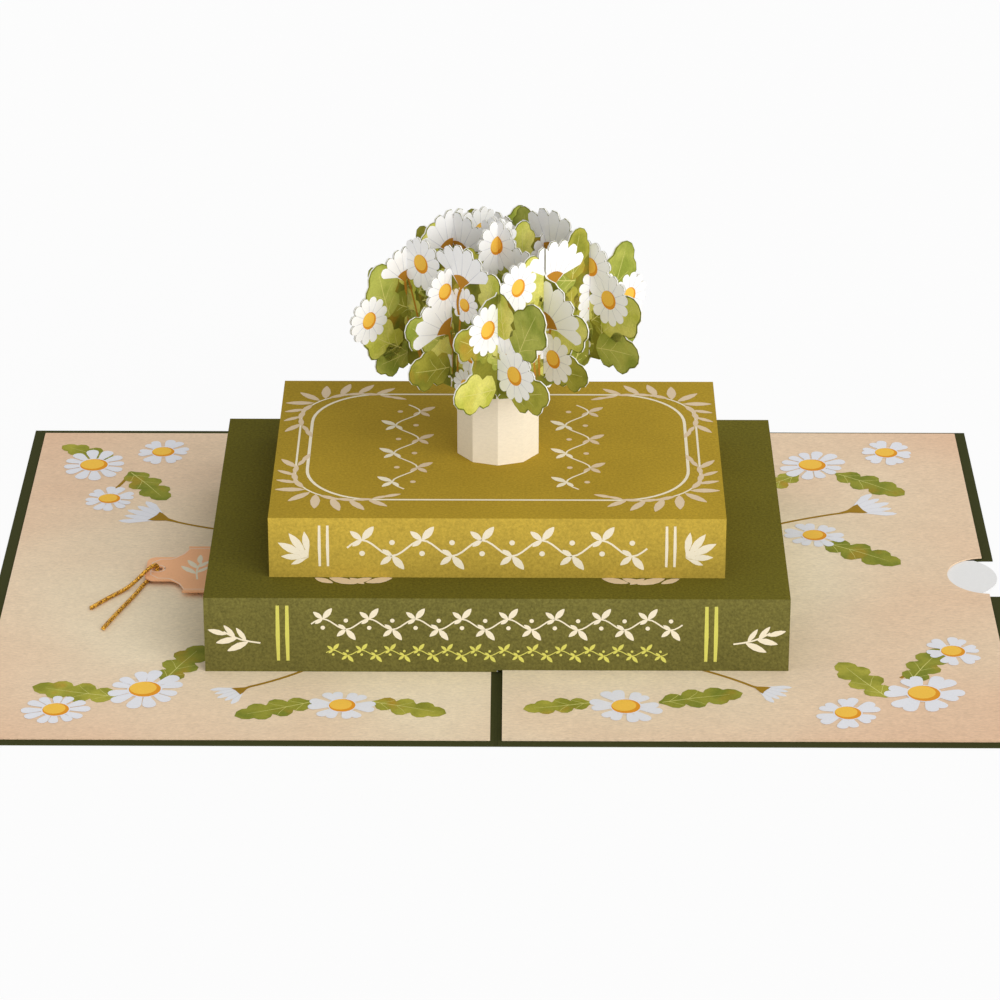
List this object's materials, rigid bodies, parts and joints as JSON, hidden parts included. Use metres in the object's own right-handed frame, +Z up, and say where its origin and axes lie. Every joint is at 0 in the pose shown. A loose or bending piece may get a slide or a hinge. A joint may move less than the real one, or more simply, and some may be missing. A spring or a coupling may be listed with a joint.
{
  "type": "pop up card",
  "caption": "Greeting card opened flat: two stacked paper books carry a ten-sided vase with a slotted daisy bouquet; a note slides out of a side pocket.",
  "frame": {"origin": "centre of the card's underside, under the fold", "axes": "+X to the right across the fold, +Y away from the reader along the fold, +Z up"},
  "size_m": [0.254, 0.178, 0.0982],
  "materials": {
    "card_stock": "matt dark green card",
    "liner_paper": "matt cream paper with a daisy print",
    "note_stock": "matt white card",
    "book_paper": "matt olive paper",
    "upper_book_paper": "matt ochre paper",
    "rib_paper": "matt white paper",
    "vase_paper": "matt cream paper",
    "blade_paper": "matt paper printed with daisies and leaves",
    "tag_paper": "matt coral paper",
    "gold_cord": "shiny gold twisted thread"
  },
  "bodies": {
    "card": {"cover": "card_stock", "left_liner": "liner_paper", "right_liner": "liner_paper", "lower_book": "book_paper", "lower_spine_rib": "rib_paper", "lower_cross_rib_front": "rib_paper", "lower_cross_rib_back": "rib_paper", "upper_book": "upper_book_paper", "upper_spine_rib": "rib_paper", "upper_cross_rib_front": "rib_paper", "upper_cross_rib_back": "rib_paper", "vase": "vase_paper", "blade_a_front": "blade_paper", "blade_a_middle": "blade_paper", "blade_a_back": "blade_paper", "blade_b_front": "blade_paper", "blade_b_middle": "blade_paper", "blade_b_back": "blade_paper", "bookmark_tag": "tag_paper", "gold_cord": "gold_cord"},
    "note": {"note_card": "note_stock"}
  },
  "joints": [
    {"name": "note_slide", "type": "slide", "parent": "card", "child": "note", "axis": [1, 0, 0], "range_m": [0, 0.1]}
  ]
}
